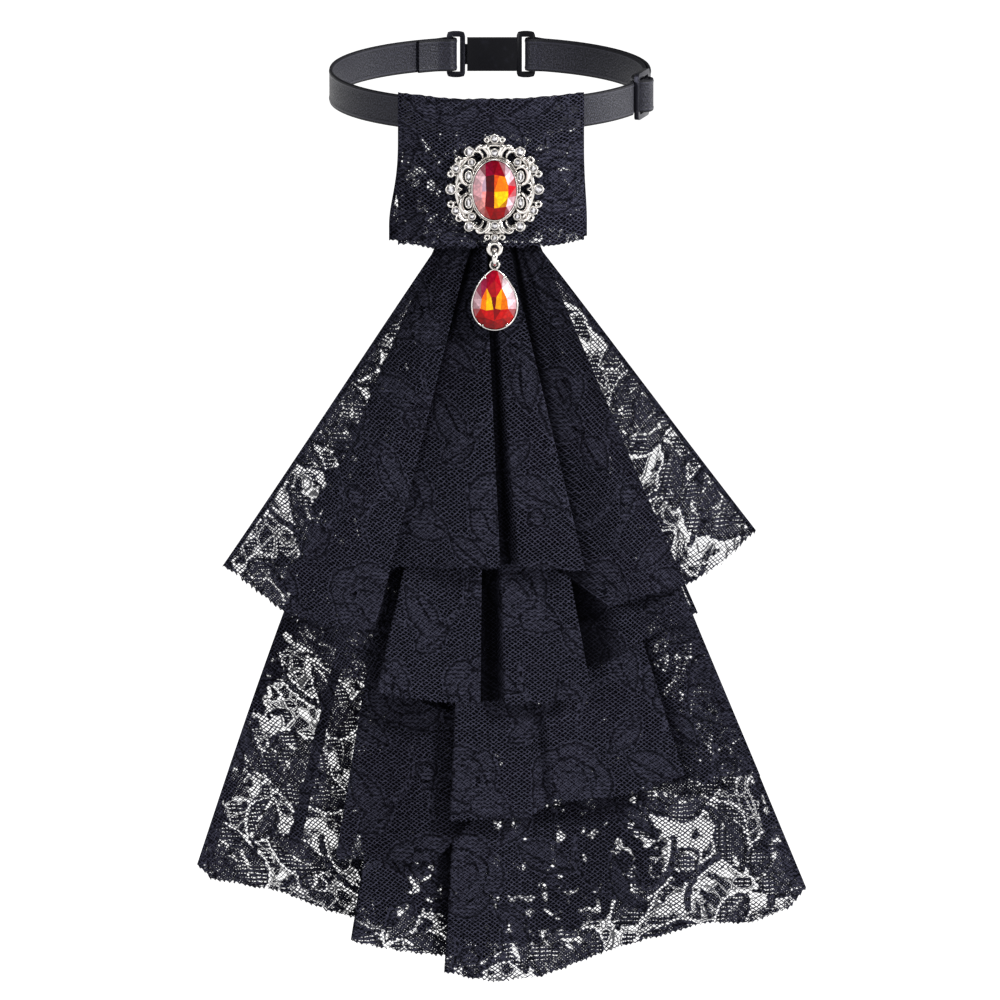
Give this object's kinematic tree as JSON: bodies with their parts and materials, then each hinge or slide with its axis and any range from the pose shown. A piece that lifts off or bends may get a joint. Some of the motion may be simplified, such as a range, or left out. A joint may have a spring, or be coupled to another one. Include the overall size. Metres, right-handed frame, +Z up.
{
  "type": "lace jabot with brooch",
  "caption": "Neck jabot of pleated black lace tiers under a folded lace panel, with a pierced silver brooch, a hanging pear drop, and an adjustable satin strap with a clasp.",
  "frame": {"origin": "centre of the neck loop at the strap's mid height", "axes": "+Z up, +Y to the wearer's back, +X to the wearer's left"},
  "size_m": [0.185, 0.1269, 0.2716],
  "materials": {
    "satin": "satin elastic ribbon",
    "lace": "matt floral net lace",
    "gunmetal": "black satin lacquer",
    "silver": "polished rhodium plate",
    "ruby": "faceted foiled glass",
    "crystal": "faceted foiled glass"
  },
  "bodies": {
    "jabot": {"neck_strap": "satin", "slider": "gunmetal", "clasp_tongue": "gunmetal", "clasp_socket": "gunmetal", "lace_panel": "lace", "brooch_frame": "silver", "centre_stone": "ruby", "crystal_01": "crystal", "crystal_02": "crystal", "crystal_03": "crystal", "crystal_04": "crystal", "crystal_05": "crystal", "crystal_06": "crystal", "crystal_07": "crystal", "crystal_08": "crystal", "crystal_09": "crystal", "crystal_10": "crystal", "crystal_11": "crystal", "crystal_12": "crystal", "crystal_13": "crystal", "crystal_14": "crystal", "crystal_15": "crystal", "crystal_16": "crystal", "crystal_17": "crystal", "crystal_18": "crystal", "crystal_19": "crystal", "crystal_20": "crystal", "crystal_21": "crystal", "crystal_22": "crystal", "tier_a": "lace", "tier_b": "lace", "tier_c": "lace", "tier_d": "lace"},
    "link": {"jump_ring": "silver"},
    "drop": {"drop_setting": "silver", "drop_stone": "ruby"}
  },
  "joints": [
    {"name": "link_swing", "type": "hinge", "parent": "jabot", "child": "link", "pos_m": [0.0014, -0.0668, -0.03753], "axis": [-1, 0, 0], "range_deg": [0, 30]},
    {"name": "drop_swing", "type": "hinge", "parent": "link", "child": "drop", "pos_m": [0.0014, -0.0668, -0.04233], "axis": [0, 1, 0], "range_deg": [-25, 25]}
  ]
}
